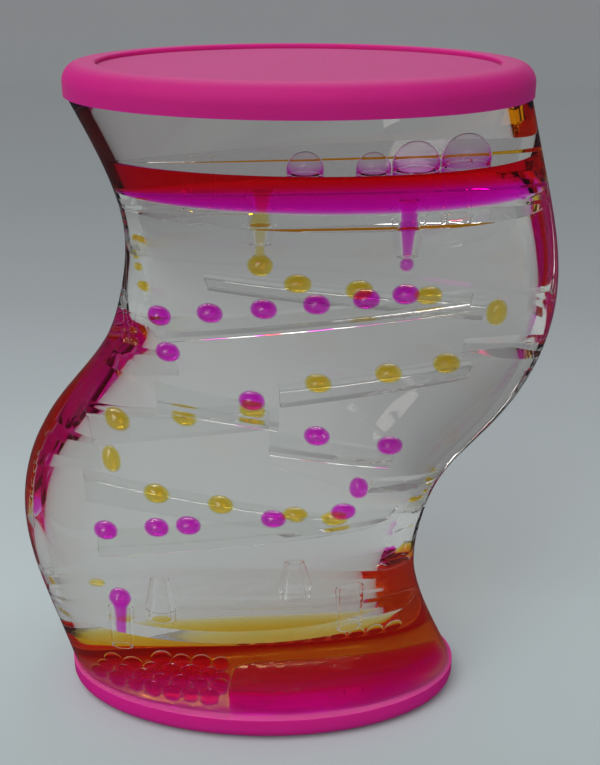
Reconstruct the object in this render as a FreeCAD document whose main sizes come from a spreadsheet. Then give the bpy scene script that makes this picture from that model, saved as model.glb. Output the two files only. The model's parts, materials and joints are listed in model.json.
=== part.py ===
import FreeCAD, Part
import os

# Liquid motion timer: an S-shaped clear body with a lid at each end.
# +X runs along the wide side, +Y from front to rear, +Z up; the origin is the middle of the base.
# The lower half is the upper half turned half a turn about the Y axis, as on the real object,
# which is used either way up.

SIZES = [
    # whole object and body, in millimetres
    ("total_height", 140.0),
    ("body_half_width", 43.4),
    ("body_half_depth", 22.2),
    ("sway", 12.2),
    ("wall", 2.4),
    ("divider_thickness", 2.0),
    ("fit_gap", 0.15),
    ("overrun", 5.0),
    # lids
    ("cap_height", 6.0),
    ("cap_overhang", 0.5),
    ("cap_overhang_depth", 2.0),
    ("cap_rounding", 3.6),
    ("cap_recess_margin", 6.5),
    ("cap_recess_margin_depth", 4.2),
    ("cap_recess_depth", 0.9),
    ("cap_recess_rounding", 0.5),
    ("cap_panel_thickness", 1.9),
    ("socket_clearance", 0.2),
    # end plates and filling plugs
    ("end_plate_thickness", 2.2),
    ("end_plate_inset", 1.5),
    ("plug_radius", 2.0),
    ("plug_clearance", 0.1),
    ("plug_head_radius", 3.2),
    ("plug_head_thickness", 0.6),
    ("plug_spread", 20.0),
    ("plug_depth_offset", 10.0),
    # decks, nozzles and standpipes
    ("deck_thickness", 3.2),
    ("nozzle_root_radius", 3.3),
    ("nozzle_tip_radius", 1.9),
    ("nozzle_spigot_radius", 2.8),
    ("nozzle_mouth_radius", 2.1),
    ("nozzle_bore_radius", 1.0),
    ("standpipe_rise", 7.1),
    ("standpipe_radius", 2.6),
    ("standpipe_end_radius", 2.3),
    ("standpipe_bore_radius", 1.9),
    # ramps and ledges; a ledge thickens from its tip to the wall
    ("ramp_front_room", 6.3),
    ("ramp_thickness", 1.0),
    ("lip_height", 0.6),
    ("lip_width", 1.0),
    ("ledge_front_room", 8.3),
    ("ledge_tip_half", 0.6),
    ("ledge_root_half", 2.2),
    ("ledge_reach", 22.0),
    # liquids
    ("upper_magenta_depth", 6.8),
    ("upper_yellow_depth", 6.55),
    ("lower_magenta_depth", 4.5),
    ("lower_yellow_depth", 7.2),
    ("bead_half_width", 2.5),
    ("bead_half_height", 1.95),
    ("bead_gap", 0.15),
    ("drip_radius", 1.3),
    ("drip_neck_radius", 0.8),
    ("yellow_drip_radius", 2.3),
    ("yellow_drip_drop", 4.4),
    ("fall_half_width", 1.9),
    ("fall_half_height", 2.6),
    ("standpipe_bead_radius", 2.25),
    ("standpipe_tail_length", 6.5),
    ("standpipe_tail_radius", 1.6),
    ("standpipe_tail_end", 1.0),
    ("deck_bead_half_width", 1.6),
    ("deck_bead_half_height", 0.75),
    ("ledge_bead_back", 1.8),
    ("pile_bead_radius", 1.9),
    ("pile_pitch", 4.05),
    ("pile_row_pitch", 3.7),
    ("pile_row_rise", 1.3),
    ("pile_layer_step", 3.9),
    ("raft_bead_radius", 1.7),
    ("raft_pitch", 3.7),
]

# Half the S, from the middle of the body to one end: how far each section is swayed sideways
# and how wide it is, as shares of the sway and of the half width.
SWAY_SHARES = [0.0, 0.70, 1.0, 1.0, 0.73, 0.35]
WIDTH_SHARES = [1.074, 1.033, 1.0, 0.969, 0.970, 0.999]

# Places across, from the body's middle line, as shares of the body's half width.
ACROSS_SHARES = {
    "front_nozzle": 0.558,
    "rear_nozzle": -0.032,
    "front_standpipe": 0.749,
    "rear_standpipe": -0.272,
    "front_ledge_tip": -0.41,
    "rear_ledge_tip": 0.797,
    "rear_long_end": 0.876,
    "deck_bead": -0.853,
    "pile_start": -0.985,
    "pile_end": -0.235,
    "raft_start": -0.194,
}

# Heights from the middle of the object, as shares of the body's half height.
LEVEL_SHARES = {
    "deck": 0.728,
    "nozzle_tip": 0.5625,
    "front_ledge": 0.1905,
    "rear_ledge": 0.2265,
    "front_ledge_fall": 0.197,
    "rear_long_fall": 0.3405,
    "rear_ledge_fall": 0.222,
}

# Lanes that the drops follow, from the middle plane, as shares of the body's half depth.
FRONT, REAR = -1, 1
LANE_SHARES = {FRONT: -0.315, REAR: 0.225, "raft": 0.153}

# Each ramp's high and low end: place across, and height, as the shares above.
RAMP_SHARES = {
    "front_long": ((0.836, 0.434), (-0.518, 0.31)),
    "front_short": ((-0.518, 0.0845), (0.023, 0.0405)),
    "rear_long": ((-0.251, 0.4235), (0.876, 0.339)),
    "rear_short": ((0.827, 0.156), (0.028, 0.038)),
}

# Where the drops of each run sit, as shares of the ramp from its high end to its low end.
FRONT_LONG_BEAD_SHARES = [0.204, 0.323, 0.474, 0.636, 0.806, 0.975]
FRONT_SHORT_BEAD_SHARES = [0.79]
FRONT_SHORT_LOWER_BEAD_SHARES = [0.383, 0.97]
FRONT_LONG_LOWER_BEAD_SHARES = [0.17, 0.403, 0.687, 0.794, 0.97]
REAR_LONG_BEAD_SHARES = [0.329, 0.55, 0.80]
REAR_SHORT_BEAD_SHARES = [0.12, 0.42, 0.79]
REAR_SHORT_LOWER_BEAD_SHARES = [0.084, 0.461, 0.841]
REAR_LONG_LOWER_BEAD_SHARES = [0.282, 0.532, 0.82, 0.97]

# Oil drops on the upper pool: place along the standpipe's offset, depth as a share of the body's
# half depth, and radius as a share of the body's half depth.
BUBBLE_SHARES = [(1.045, -0.43, 0.212), (0.775, -0.58, 0.192), (0.55, -0.70, 0.14), (0.19, -0.72, 0.15)]
BUBBLE_LIFT_SHARE = 0.2

# The heap: where its body section lies and how wide it is, and the sizes of its drops in turn.
PILE_SWAY_SHARE = 0.4
PILE_WIDTH_SHARE = 0.99
PILE_DROP_SHARES = [1.0, 0.86, 0.96, 0.8, 0.92]
RAFT_COUNT = 9

doc = FreeCAD.newDocument("LiquidMotionTimer")
sheet = doc.addObject("Spreadsheet::Sheet", "Size")
for row, (alias, value) in enumerate(SIZES, start=1):
    sheet.set(f"A{row}", alias)
    sheet.set(f"B{row}", str(value))
    sheet.setAlias(f"B{row}", alias)
doc.recompute()

MIDDLE = "Size.total_height / 2"
BODY_HALF_HEIGHT = "(Size.total_height / 2 - Size.cap_height)"
END_CENTRE = f"Size.sway * {SWAY_SHARES[-1]}"
END_HALF_WIDTH = f"Size.body_half_width * {WIDTH_SHARES[-1]}"
HALF_DIVIDER = "Size.divider_thickness / 2"
nodes = []


def across(share):
    return f"(Size.body_half_width * {share})"


def level(share):
    """A height above the middle of the object, or below it for a negative share."""
    return f"({MIDDLE} + {BODY_HALF_HEIGHT} * {share})"


def bind(item, formulas):
    """Ties each property of the item to a formula of the named sizes."""
    for prop, formula in formulas.items():
        item.setExpression(prop, formula)
    return item


def at(x="0", y="0", z="0"):
    """The formulas that put an item at a place."""
    return {".Placement.Base.x": x, ".Placement.Base.y": y, ".Placement.Base.z": z}


def add(kind, name, formulas=None):
    return bind(doc.addObject(kind, name), formulas or {})


def combine(kind, name, base, tool):
    result = doc.addObject(kind, name)
    result.Base = base
    result.Tool = tool
    return result


def fuse(name, shapes):
    result = doc.addObject("Part::MultiFuse", name)
    result.Shapes = shapes
    return result


def keep(item, label):
    """Makes the item a piece of the finished object."""
    item.Label = label
    nodes.append(item)
    return item


def tilt(item, angle):
    """Slopes the item up towards +X."""
    item.Placement.Rotation = FreeCAD.Rotation(FreeCAD.Vector(0, -1, 0), 1)
    return bind(item, {".Placement.Rotation.Angle": angle})


def turn_over(item):
    """Turns an upper piece into its lower twin, half a turn about the object's middle."""
    item.Placement.Rotation = FreeCAD.Rotation(FreeCAD.Vector(0, 1, 0), 180)
    return bind(item, {".Placement.Base.z": "Size.total_height"})


# The body's form, drawn in from the outside by a given amount.
def body_form(name, inset):
    steps = len(SWAY_SHARES) - 1
    rings = []
    for step in range(-steps, steps + 1):
        sway = SWAY_SHARES[abs(step)] if step > 0 else -SWAY_SHARES[abs(step)]
        ring = add("Part::Ellipse", name + "_ring", {
            "MajorRadius": f"{across(WIDTH_SHARES[abs(step)])} - {inset}",
            "MinorRadius": f"Size.body_half_depth - {inset}",
            **at(x=f"Size.sway * {sway}", z=level(step / steps)),
        })
        rings.append(ring)
    loft = doc.addObject("Part::Loft", name)
    loft.Sections = rings
    loft.Solid = True
    return loft


outer_form = body_form("outer_form", "0")
cavity_form = body_form("cavity_form", "Size.wall")
filling_form = body_form("filling_form", "(Size.wall + Size.fit_gap)")


def block(name, x, y, z):
    """A box from pairs of formulas, low and high, along each axis."""
    return add("Part::Box", name, {
        "Length": f"({x[1]}) - ({x[0]})",
        "Width": f"({y[1]}) - ({y[0]})",
        "Height": f"({z[1]}) - ({z[0]})",
        **at(x[0], y[0], z[0]),
    })


REACH = "(Size.body_half_width + Size.sway + Size.overrun)"
DEPTH_REACH = "(Size.body_half_depth + Size.overrun)"
WHOLE_WIDTH = (f"-{REACH}", REACH)
WHOLE_HEIGHT = ("-Size.overrun", "Size.total_height + Size.overrun")
SIDE_SPAN = {FRONT: (f"-{DEPTH_REACH}", f"-{HALF_DIVIDER}"), REAR: (HALF_DIVIDER, DEPTH_REACH)}
SIDE_NAME = {FRONT: "front", REAR: "rear"}
LANE = {side: f"(Size.body_half_depth * {LANE_SHARES[side]})" for side in LANE_SHARES}

# Shells: two moulded halves, open towards the divider and at both ends.
wall_form = combine("Part::Cut", "wall_form", outer_form, cavity_form)
for side in (FRONT, REAR):
    half = block(SIDE_NAME[side] + "_half", WHOLE_WIDTH, SIDE_SPAN[side], WHOLE_HEIGHT)
    keep(combine("Part::Common", SIDE_NAME[side] + "_shell", wall_form, half), SIDE_NAME[side] + "_shell")

# Divider: a flat sheet with the body's whole outline, bonded between the halves.
middle_slab = block("middle_slab", WHOLE_WIDTH, (f"-{HALF_DIVIDER}", HALF_DIVIDER), WHOLE_HEIGHT)
keep(combine("Part::Common", "divider_plate", outer_form, middle_slab), "divider_plate")


def oval(name, half_width, half_depth, low, high):
    """An upright oval cylinder on the upper end's middle line."""
    ring = add("Part::Ellipse", name + "_ring", {
        "MajorRadius": half_width,
        "MinorRadius": half_depth,
        **at(x=END_CENTRE, z=low),
    })
    solid = add("Part::Extrusion", name, {"LengthFwd": f"({high}) - ({low})"})
    solid.Base = ring
    solid.Dir = FreeCAD.Vector(0, 0, 1)
    solid.Solid = True
    return solid


BODY_TOP = "(Size.total_height - Size.cap_height)"
PLATE_TOP = "(Size.total_height - Size.cap_height + Size.end_plate_thickness)"
CAP_CEILING = "(Size.total_height - Size.cap_recess_depth - Size.cap_panel_thickness)"


def plug_places():
    """One filling hole in each circuit's chamber."""
    return [(f"{END_CENTRE} - Size.plug_spread", "-Size.plug_depth_offset"),
            (f"{END_CENTRE} + Size.plug_spread", "Size.plug_depth_offset")]


def end_plate(label):
    plate = oval(label + "_blank", f"{END_HALF_WIDTH} - Size.end_plate_inset",
                 "Size.body_half_depth - Size.end_plate_inset", BODY_TOP, PLATE_TOP)
    holes = []
    for x, y in plug_places():
        holes.append(add("Part::Cylinder", label + "_hole", {
            "Radius": "Size.plug_radius + Size.plug_clearance",
            "Height": "Size.end_plate_thickness + 2 * Size.overrun",
            **at(x, y, f"{BODY_TOP} - Size.overrun"),
        }))
    return keep(combine("Part::Cut", label, plate, fuse(label + "_holes", holes)), label)


def cap(label):
    """A moulded lid: rounded outside, a shallow recess above and a socket for the end plate below."""
    blank = oval(label + "_blank", f"{END_HALF_WIDTH} + Size.cap_overhang",
                 "Size.body_half_depth + Size.cap_overhang_depth", BODY_TOP, "Size.total_height")
    recess = oval(label + "_recess", f"{END_HALF_WIDTH} + Size.cap_overhang - Size.cap_recess_margin",
                  "Size.body_half_depth + Size.cap_overhang_depth - Size.cap_recess_margin_depth",
                  "Size.total_height - Size.cap_recess_depth", "Size.total_height + Size.overrun")
    socket = oval(label + "_socket", f"{END_HALF_WIDTH} - Size.end_plate_inset + Size.socket_clearance",
                  "Size.body_half_depth - Size.end_plate_inset + Size.socket_clearance",
                  f"{BODY_TOP} - Size.overrun", CAP_CEILING)
    dished = combine("Part::Cut", label + "_dished", blank, recess)
    rounded = doc.addObject("Part::Fillet", label + "_rounded")
    rounded.Base = dished
    doc.recompute()
    edges = sorted(enumerate(dished.Shape.Edges, start=1), key=lambda pair: pair[1].CenterOfMass.z)
    inner, outer = sorted(edges[-2:], key=lambda pair: pair[1].Length)
    rounded.Edges = [(number, sheet.get(size), sheet.get(size))
                     for (number, edge), size in ((inner, "cap_recess_rounding"), (outer, "cap_rounding"))]
    return keep(combine("Part::Cut", label, rounded, socket), label)


end_plate("top_end_plate")
turn_over(end_plate("bottom_end_plate"))
cap("top_cap")
turn_over(cap("bottom_cap"))


# Filling plugs: a flat head on a short shank, pressed into each hole of the end plates.
def plug_pair(name):
    solids = []
    for x, y in plug_places():
        shank = add("Part::Cylinder", name + "_shank", {
            "Radius": "Size.plug_radius",
            "Height": "Size.end_plate_thickness",
            **at(x, y, BODY_TOP),
        })
        head = add("Part::Cylinder", name + "_head", {
            "Radius": "Size.plug_head_radius",
            "Height": "Size.plug_head_thickness",
            **at(x, y, PLATE_TOP),
        })
        solids.append(fuse(name, [shank, head]))
    pair = doc.addObject("Part::Compound", name + "_pair")
    pair.Links = solids
    return pair


plugs = doc.addObject("Part::Compound", "fill_plugs")
plugs.Links = [plug_pair("upper_plug"), turn_over(plug_pair("lower_plug"))]
keep(plugs, "fill_plugs")

DECK_TOP = level(LEVEL_SHARES["deck"])
DECK_UNDERSIDE = f"({DECK_TOP} - Size.deck_thickness)"
NOZZLE_TIP = level(LEVEL_SHARES["nozzle_tip"])
STANDPIPE_TOP = f"({DECK_TOP} + Size.standpipe_rise)"
NOZZLE_X = {side: across(ACROSS_SHARES[SIDE_NAME[side] + "_nozzle"]) for side in (FRONT, REAR)}
STANDPIPE_X = {side: across(ACROSS_SHARES[SIDE_NAME[side] + "_standpipe"]) for side in (FRONT, REAR)}


def upright(kind, name, side, x, radii, low, high):
    """A cylinder or cone on a lane, from its low height to its high height."""
    sizes = {"Height": f"({high}) - ({low})", **at(x, LANE[side], low)}
    if kind == "Part::Cylinder":
        sizes["Radius"] = radii
    else:
        sizes["Radius1"], sizes["Radius2"] = radii
    return add(kind, name, sizes)


# Decks: the floor of a chamber, bored for its nozzle and its standpipe.
def deck(label, side):
    slab = block(label + "_slab", WHOLE_WIDTH, SIDE_SPAN[side], (DECK_UNDERSIDE, DECK_TOP))
    blank = combine("Part::Common", label + "_blank", filling_form, slab)
    low, high = f"{DECK_UNDERSIDE} - Size.overrun", f"{DECK_TOP} + Size.overrun"
    nozzle_hole = upright("Part::Cylinder", label + "_nozzle_hole", side, NOZZLE_X[side],
                          "Size.nozzle_spigot_radius + Size.fit_gap", low, high)
    pipe_hole = upright("Part::Cylinder", label + "_pipe_hole", side, STANDPIPE_X[side],
                        "Size.standpipe_radius + Size.fit_gap", low, high)
    holes = fuse(label + "_holes", [nozzle_hole, pipe_hole])
    return keep(combine("Part::Cut", label, blank, holes), label)


# Nozzles: a tapered spout under the deck, held by a spigot through it.
def nozzle(label, side):
    x = NOZZLE_X[side]
    spout = upright("Part::Cone", label + "_spout", side, x,
                    ("Size.nozzle_tip_radius", "Size.nozzle_root_radius"), NOZZLE_TIP, DECK_UNDERSIDE)
    spigot = upright("Part::Cylinder", label + "_spigot", side, x,
                     "Size.nozzle_spigot_radius", DECK_UNDERSIDE, DECK_TOP)
    bore = upright("Part::Cone", label + "_bore", side, x,
                   ("Size.nozzle_bore_radius", "Size.nozzle_mouth_radius"), NOZZLE_TIP, DECK_TOP)
    return keep(combine("Part::Cut", label, fuse(label + "_blank", [spout, spigot]), bore), label)


# Standpipes: open tubes that stand on the deck, above the liquid, and end flush under it.
def standpipe(label, side):
    x = STANDPIPE_X[side]
    root = upright("Part::Cylinder", label + "_root", side, x,
                   "Size.standpipe_radius", DECK_UNDERSIDE, DECK_TOP)
    tube = upright("Part::Cone", label + "_tube", side, x,
                   ("Size.standpipe_radius", "Size.standpipe_end_radius"), DECK_TOP, STANDPIPE_TOP)
    bore = upright("Part::Cylinder", label + "_bore", side, x, "Size.standpipe_bore_radius",
                   f"{DECK_UNDERSIDE} - Size.overrun", f"{STANDPIPE_TOP} + Size.overrun")
    return keep(combine("Part::Cut", label, fuse(label + "_blank", [root, tube]), bore), label)


for side in (FRONT, REAR):
    for make, kind in ((deck, "deck"), (nozzle, "nozzle"), (standpipe, "standpipe")):
        make(f"upper_{SIDE_NAME[side]}_{kind}", side)
        turn_over(make(f"lower_{SIDE_NAME[side]}_{kind}", side))


def ramp_line(run):
    """The middle of a ramp's line, how far it reaches across, and its slope as an angle."""
    (high_across, high_level), (low_across, low_level) = RAMP_SHARES[run]
    middle_x = across((high_across + low_across) / 2)
    middle_z = level((high_level + low_level) / 2)
    width = across(abs(high_across - low_across))
    lean = (high_level - low_level) / (high_across - low_across)
    angle = f"atan({BODY_HALF_HEIGHT} * {lean} / Size.body_half_width)"
    return middle_x, middle_z, width, angle


def shelf_depth(room):
    """How far a shelf stands out from the divider when it leaves some room before the shell."""
    return f"(Size.body_half_depth - Size.wall - {HALF_DIVIDER} - Size.{room})"


RAMP_DEPTH = shelf_depth("ramp_front_room")
LEDGE_DEPTH = shelf_depth("ledge_front_room")


# Ramps: a thin plate from the divider towards the shell, with a lip along its free edge.
def ramp(label, side, run):
    middle_x, middle_z, width, angle = ramp_line(run)
    length = f"({width} / cos({angle}))"
    plate_start = "0" if side == REAR else f"-{RAMP_DEPTH}"
    lip_start = f"{RAMP_DEPTH} - Size.lip_width" if side == REAR else f"-{RAMP_DEPTH}"
    plate = add("Part::Box", label + "_plate", {
        "Length": length, "Width": RAMP_DEPTH, "Height": "Size.ramp_thickness",
        **at(f"-{length} / 2", plate_start, "-Size.ramp_thickness / 2"),
    })
    lip = add("Part::Box", label + "_lip", {
        "Length": length, "Width": "Size.lip_width", "Height": "Size.ramp_thickness + 2 * Size.lip_height",
        **at(f"-{length} / 2", lip_start, "-Size.ramp_thickness / 2 - Size.lip_height"),
    })
    blank = fuse(label + "_blank", [plate, lip])
    tilt(blank, angle)
    bind(blank, at(middle_x, f"{side} * {HALF_DIVIDER}", middle_z))
    return keep(combine("Part::Common", label, filling_form, blank), label)


for number, side, run in ((1, FRONT, "front_long"), (2, FRONT, "front_short"),
                          (1, REAR, "rear_long"), (2, REAR, "rear_short")):
    ramp(f"{SIDE_NAME[side]}_ramp_{number}", side, run)
    turn_over(ramp(f"{SIDE_NAME[side]}_ramp_{5 - number}", side, run))


# Ledges: wedges that thicken towards the side wall, so that either face sheds the drops inwards.
def ledge(label, side):
    wedge = add("Part::Wedge", label + "_wedge", {
        "Xmin": f"-{LEDGE_DEPTH}", "Xmax": "0",
        "X2min": f"-{LEDGE_DEPTH}", "X2max": "0",
        "Ymin": "0", "Ymax": "Size.ledge_reach",
        "Zmin": "-Size.ledge_tip_half", "Zmax": "Size.ledge_tip_half",
        "Z2min": "-Size.ledge_root_half", "Z2max": "Size.ledge_root_half",
    })
    wedge.Placement.Rotation = FreeCAD.Rotation(FreeCAD.Vector(0, 0, 1), -side * 90)
    bind(wedge, at(across(ACROSS_SHARES[SIDE_NAME[side] + "_ledge_tip"]), f"{side} * {HALF_DIVIDER}",
                   level(LEVEL_SHARES[SIDE_NAME[side] + "_ledge"])))
    return keep(combine("Part::Common", label, filling_form, wedge), label)


for side in (FRONT, REAR):
    ledge(f"{SIDE_NAME[side]}_ledge_1", side)
    turn_over(ledge(f"{SIDE_NAME[side]}_ledge_2", side))


# Upper pools: coloured liquid on the deck, round the standpipe and down into the nozzle.
def upper_pool(label, side, surface):
    slab = block(label + "_slab", WHOLE_WIDTH, SIDE_SPAN[side], (DECK_TOP, surface))
    blank = combine("Part::Common", label + "_blank", filling_form, slab)
    pipe_room = upright("Part::Cylinder", label + "_pipe_room", side, STANDPIPE_X[side],
                        "Size.standpipe_radius + Size.fit_gap", DECK_UNDERSIDE, STANDPIPE_TOP)
    liquid = combine("Part::Cut", label + "_liquid", blank, pipe_room)
    column = upright("Part::Cone", label + "_column", side, NOZZLE_X[side],
                     ("Size.nozzle_bore_radius - Size.fit_gap", "Size.nozzle_mouth_radius - Size.fit_gap"),
                     NOZZLE_TIP, DECK_TOP)
    return keep(fuse(label, [liquid, column]), label)


UPPER_MAGENTA = f"({DECK_TOP} + Size.upper_magenta_depth)"
upper_pool("upper_magenta_pool", FRONT, UPPER_MAGENTA)
upper_pool("upper_yellow_pool", REAR, f"({DECK_TOP} + Size.upper_yellow_depth)")

# Lower pools: coloured liquid on the bottom end plate.
FLOOR = "Size.cap_height"
LOWER_MAGENTA = f"({FLOOR} + Size.lower_magenta_depth)"
LOWER_YELLOW = f"({FLOOR} + Size.lower_yellow_depth)"


def lower_pool(label, side, surface):
    slab = block(label + "_slab", WHOLE_WIDTH, SIDE_SPAN[side], (FLOOR, surface))
    return combine("Part::Common", label + "_blank", filling_form, slab)


keep(lower_pool("lower_yellow_pool", REAR, LOWER_YELLOW), "lower_yellow_pool")

# The magenta pool has a hollow at its left, where landed drops lie in a heap before they merge.
magenta_blank = lower_pool("lower_magenta_pool", FRONT, LOWER_MAGENTA)
pile_pocket = block("pile_pocket", (f"-{REACH}", across(ACROSS_SHARES["pile_end"])),
                    (f"-{DEPTH_REACH}", "0"), (WHOLE_HEIGHT[0], MIDDLE))
keep(combine("Part::Cut", "lower_magenta_pool", magenta_blank, pile_pocket), "lower_magenta_pool")


def drop(name, half_width, half_height, x, y, z):
    """A drop of coloured liquid, round in plan and flattened or drawn out in height."""
    return add("Part::Ellipsoid", name, {
        "Radius1": half_height, "Radius2": half_width, "Radius3": half_width, **at(x, y, z),
    })


# Runs of drops that roll down the ramps, resting just above the plate.
def rolling_drops(label, side, run, shares, lower=False):
    (high_across, high_level), (low_across, low_level) = RAMP_SHARES[run]
    angle = ramp_line(run)[-1]
    face = -1 if lower else 1
    stand = f"{face} * (Size.ramp_thickness / 2 + Size.bead_gap + Size.bead_half_height)"
    drops = []
    for share in shares:
        if lower:
            share = 1 - share
        x = across(high_across + share * (low_across - high_across))
        line = level(high_level + share * (low_level - high_level))
        z = f"{line} + {stand} / cos({angle})"
        bead = drop(label + "_drop", "Size.bead_half_width", "Size.bead_half_height", x, LANE[side], z)
        drops.append(tilt(bead, angle))
    group = doc.addObject("Part::Compound", label)
    group.Links = drops
    if lower:
        turn_over(group)
    return keep(group, label)


rolling_drops("magenta_beads_ramp_1", FRONT, "front_long", FRONT_LONG_BEAD_SHARES)
rolling_drops("magenta_beads_ramp_2", FRONT, "front_short", FRONT_SHORT_BEAD_SHARES)
rolling_drops("magenta_beads_ramp_3", FRONT, "front_short", FRONT_SHORT_LOWER_BEAD_SHARES, lower=True)
rolling_drops("magenta_beads_ramp_4", FRONT, "front_long", FRONT_LONG_LOWER_BEAD_SHARES, lower=True)
rolling_drops("yellow_beads_ramp_1", REAR, "rear_long", REAR_LONG_BEAD_SHARES)
rolling_drops("yellow_beads_ramp_2", REAR, "rear_short", REAR_SHORT_BEAD_SHARES)
rolling_drops("yellow_beads_ramp_3", REAR, "rear_short", REAR_SHORT_LOWER_BEAD_SHARES, lower=True)
rolling_drops("yellow_beads_ramp_4", REAR, "rear_long", REAR_LONG_LOWER_BEAD_SHARES, lower=True)

# Single drops: one on the upper front ledge, the others falling past a tip.
LEDGE_SLOPE = "atan((Size.ledge_root_half - Size.ledge_tip_half) / Size.ledge_reach)"
ledge_bead = drop("magenta_bead_ledge_1", "Size.bead_half_width", "Size.bead_half_height",
                  f"{across(ACROSS_SHARES['front_ledge_tip'])} - Size.ledge_bead_back", LANE[FRONT],
                  f"{level(LEVEL_SHARES['front_ledge'])} + Size.ledge_bead_back * tan({LEDGE_SLOPE})"
                  f" + (Size.ledge_tip_half + Size.bead_gap + Size.bead_half_height) / cos({LEDGE_SLOPE})")
keep(ledge_bead, "magenta_bead_ledge_1")
PAST_TIP = "(Size.fall_half_width + 2 * Size.bead_gap)"
for label, side, tip, way, height in (
    ("magenta_bead_ledge_2", FRONT, -ACROSS_SHARES["front_ledge_tip"], -1, -LEVEL_SHARES["front_ledge_fall"]),
    ("yellow_bead_ledge_1", REAR, ACROSS_SHARES["rear_long_end"], 1, LEVEL_SHARES["rear_long_fall"]),
    ("yellow_bead_ledge_2", REAR, -ACROSS_SHARES["rear_ledge_tip"], 1, -LEVEL_SHARES["rear_ledge_fall"]),
):
    falling = drop(label, "Size.fall_half_width", "Size.fall_half_height",
                   f"{across(tip)} + {way} * {PAST_TIP}", LANE[side], level(height))
    keep(falling, label)

# A flat drop on the lower rear deck, on its way to the standpipe.
LOWER_DECK_TOP = f"(Size.total_height - {DECK_UNDERSIDE})"
keep(drop("yellow_bead_deck", "Size.deck_bead_half_width", "Size.deck_bead_half_height",
          across(ACROSS_SHARES["deck_bead"]), LANE[REAR],
          f"{LOWER_DECK_TOP} + Size.deck_bead_half_height + Size.bead_gap"), "yellow_bead_deck")

# The drop that enters the lower front standpipe, with its tail in the bore.
pipe_x = f"-({STANDPIPE_X[FRONT]})"
pipe_ball = add("Part::Sphere", "pipe_ball", {
    "Radius": "Size.standpipe_bead_radius",
    **at(pipe_x, LANE[FRONT], f"{LOWER_DECK_TOP} + Size.standpipe_bead_radius + Size.bead_gap"),
})
pipe_tail = upright("Part::Cone", "pipe_tail", FRONT, pipe_x,
                    ("Size.standpipe_tail_end", "Size.standpipe_tail_radius"),
                    f"{LOWER_DECK_TOP} - Size.standpipe_tail_length",
                    f"{LOWER_DECK_TOP} + Size.standpipe_bead_radius")
keep(fuse("magenta_bead_standpipe", [pipe_ball, pipe_tail]), "magenta_bead_standpipe")

# The drops that hang from the upper nozzles: a small one in front, a full one with its neck behind.
magenta_drip = add("Part::Sphere", "magenta_drip", {
    "Radius": "Size.drip_radius",
    **at(NOZZLE_X[FRONT], LANE[FRONT], f"{NOZZLE_TIP} - Size.bead_gap - Size.drip_radius"),
})
keep(magenta_drip, "magenta_drip")
yellow_ball = add("Part::Sphere", "yellow_ball", {
    "Radius": "Size.yellow_drip_radius",
    **at(NOZZLE_X[REAR], LANE[REAR], f"{NOZZLE_TIP} - Size.yellow_drip_drop"),
})
yellow_neck = upright("Part::Cone", "yellow_neck", REAR, NOZZLE_X[REAR],
                      ("Size.yellow_drip_radius / 2", "Size.drip_neck_radius"),
                      f"{NOZZLE_TIP} - Size.yellow_drip_drop + Size.yellow_drip_radius / 2",
                      f"{NOZZLE_TIP} - Size.bead_gap")
keep(fuse("yellow_drip", [yellow_ball, yellow_neck]), "yellow_drip")

# The heap of landed magenta drops, as many as there is room for: rows that follow the front wall,
# each set half a step over and higher than the one before it, with more drops under the high ones.
PILE_CENTRE = f"-Size.sway * {PILE_SWAY_SHARE}"
PILE_INSET = "(Size.wall + 2 * Size.fit_gap + Size.pile_bead_radius)"
PILE_HALF_WIDTH = f"({across(PILE_WIDTH_SHARE)} - {PILE_INSET})"
PILE_HALF_DEPTH = f"(Size.body_half_depth - {PILE_INSET})"
doc.recompute()
drop_radius = sheet.get("pile_bead_radius")
row_pitch = sheet.get("pile_row_pitch")
heap_width = sheet.get("body_half_width") * (ACROSS_SHARES["pile_end"] - ACROSS_SHARES["pile_start"])
column_count = int((heap_width - drop_radius) / sheet.get("pile_pitch") - 1 / 2)
front_room = sheet.evalExpression(f"{PILE_HALF_DEPTH} - {HALF_DIVIDER} - Size.fit_gap - Size.pile_bead_radius")
pile = []
for row in range(1 + int(front_room / row_pitch)):
    for place in range(1, 1 + column_count):
        x = f"({across(ACROSS_SHARES['pile_start'])} + Size.pile_pitch * {place + row % 2 / 2})"
        wall_y = f"-{PILE_HALF_DEPTH} * sqrt(1 - pow(({x} - {PILE_CENTRE}) / {PILE_HALF_WIDTH}; 2))"
        y = f"{wall_y} + {row} * Size.pile_row_pitch"
        if sheet.evalExpression(f"{y} + {HALF_DIVIDER} + Size.fit_gap + Size.pile_bead_radius") > 0:
            continue
        climb = f"{row} * Size.pile_row_rise"
        layer_count = 1 + int(sheet.evalExpression(f"{climb} / Size.pile_layer_step"))
        for layer in range(layer_count):
            z = f"{FLOOR} + Size.fit_gap + Size.pile_bead_radius + {climb} - {layer} * Size.pile_layer_step"
            share = PILE_DROP_SHARES[(place + 2 * row + layer) % len(PILE_DROP_SHARES)]
            pile.append(add("Part::Sphere", "pile_drop", {
                "Radius": f"Size.pile_bead_radius * {share}", **at(x, y, z),
            }))
heap = doc.addObject("Part::Compound", "magenta_bead_pile")
heap.Links = pile
keep(heap, "magenta_bead_pile")


def domes(label, surface, spheres):
    """Drops that sit on a liquid's surface, flat where they meet it."""
    above = block(label + "_above", WHOLE_WIDTH, (f"-{DEPTH_REACH}", DEPTH_REACH), (surface, WHOLE_HEIGHT[1]))
    return combine("Part::Common", label + "_caps", fuse(label + "_balls", spheres), above)


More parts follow.
